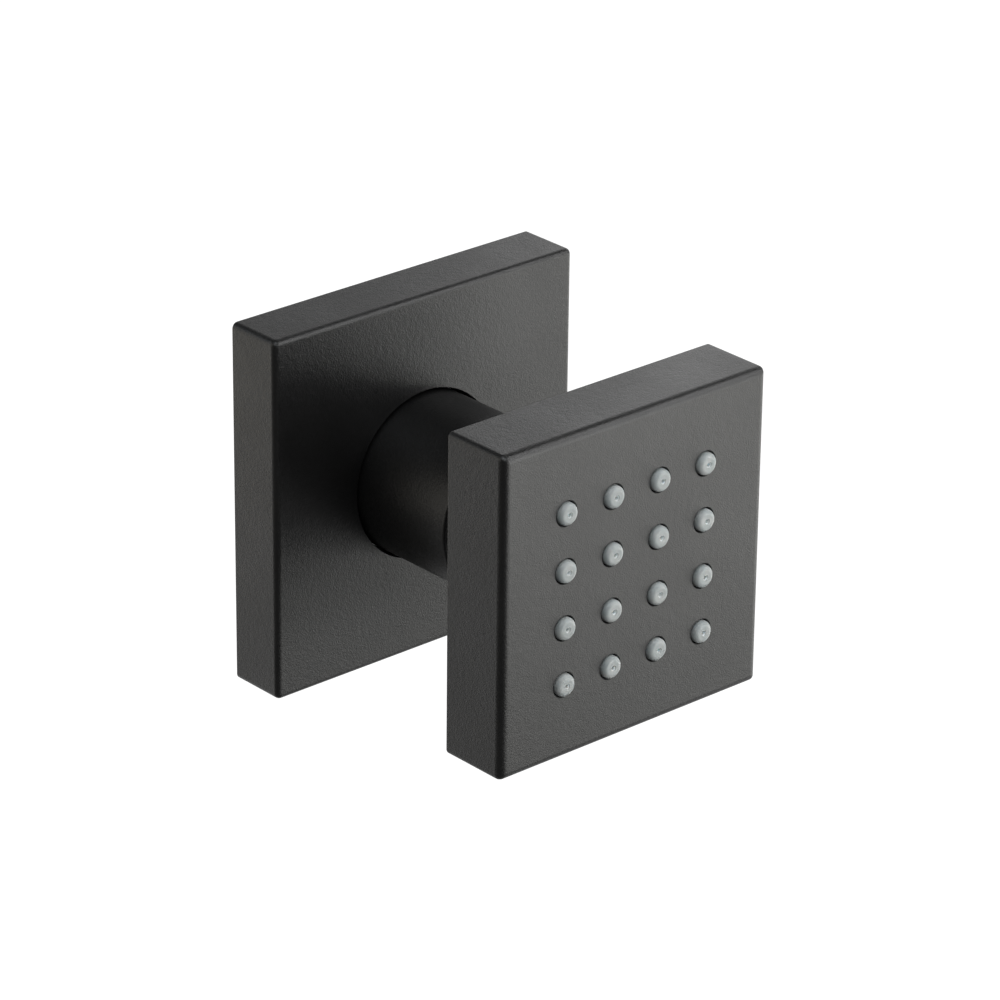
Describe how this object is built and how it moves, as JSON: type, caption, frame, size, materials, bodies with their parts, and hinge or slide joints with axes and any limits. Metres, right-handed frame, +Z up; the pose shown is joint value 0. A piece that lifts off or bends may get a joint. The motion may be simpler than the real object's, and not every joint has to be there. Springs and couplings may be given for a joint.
{
  "type": "shower body jet",
  "caption": "Square shower body jet: a flat spray head with a grid of soft nozzles, on a ball joint in a round neck that stands on a square wall plate.",
  "frame": {"origin": "on the neck's axis in the plane of the finished wall, at the mouth of the inlet thread", "axes": "+Z up the wall, -Y out from the wall towards the spray face, +X to the right as seen from the room"},
  "size_m": [0.057, 0.0558, 0.057],
  "materials": {
    "black_coat": "matt black powder coat",
    "plated": "plated and polished",
    "steel": "bright",
    "silicone": "soft pale grey silicone",
    "rubber": "black rubber",
    "foam": "closed cell foam",
    "acetal": "moulded acetal",
    "moulding": "moulded dark plastic"
  },
  "bodies": {
    "neck": {"neck_body": "black_coat", "inlet_washer": "rubber", "strainer": "steel", "limiter_body": "acetal", "limiter_seal": "rubber", "limiter_ring": "silicone", "seat_spring": "steel", "rear_seat": "acetal", "seat_o_ring": "rubber", "ball_seal": "rubber", "retaining_ring": "black_coat"},
    "plate_grip": {"plate_o_ring": "rubber"},
    "plate": {"wall_plate": "black_coat", "wall_gasket": "foam"},
    "seat": {"slip_ring": "acetal"},
    "ball": {"ball_stem": "plated"},
    "head": {"stem_washer": "rubber", "head_shell": "black_coat", "head_cover": "black_coat", "cover_screws": "steel", "spray_plate": "moulding", "chamber_seal": "rubber", "nozzle_sheet": "silicone"}
  },
  "joints": [
    {"name": "plate_slide", "type": "slide", "parent": "neck", "child": "plate_grip", "axis": [0, -1, 0], "range_m": [0, 0.014]},
    {"name": "plate_turn", "type": "hinge", "parent": "plate_grip", "child": "plate", "pos_m": [0, 0, 0], "axis": [0, -1, 0], "continuous": true},
    {"name": "seat_turn", "type": "hinge", "parent": "neck", "child": "seat", "pos_m": [0, -0.0236, 0], "axis": [0, -1, 0], "continuous": true},
    {"name": "ball_tilt", "type": "hinge", "parent": "seat", "child": "ball", "pos_m": [0, -0.0236, 0], "axis": [1, 0, 0], "range_deg": [-20, 20]},
    {"name": "head_turn", "type": "hinge", "parent": "ball", "child": "head", "pos_m": [0, -0.0236, 0], "axis": [0, -1, 0], "continuous": true}
  ]
}
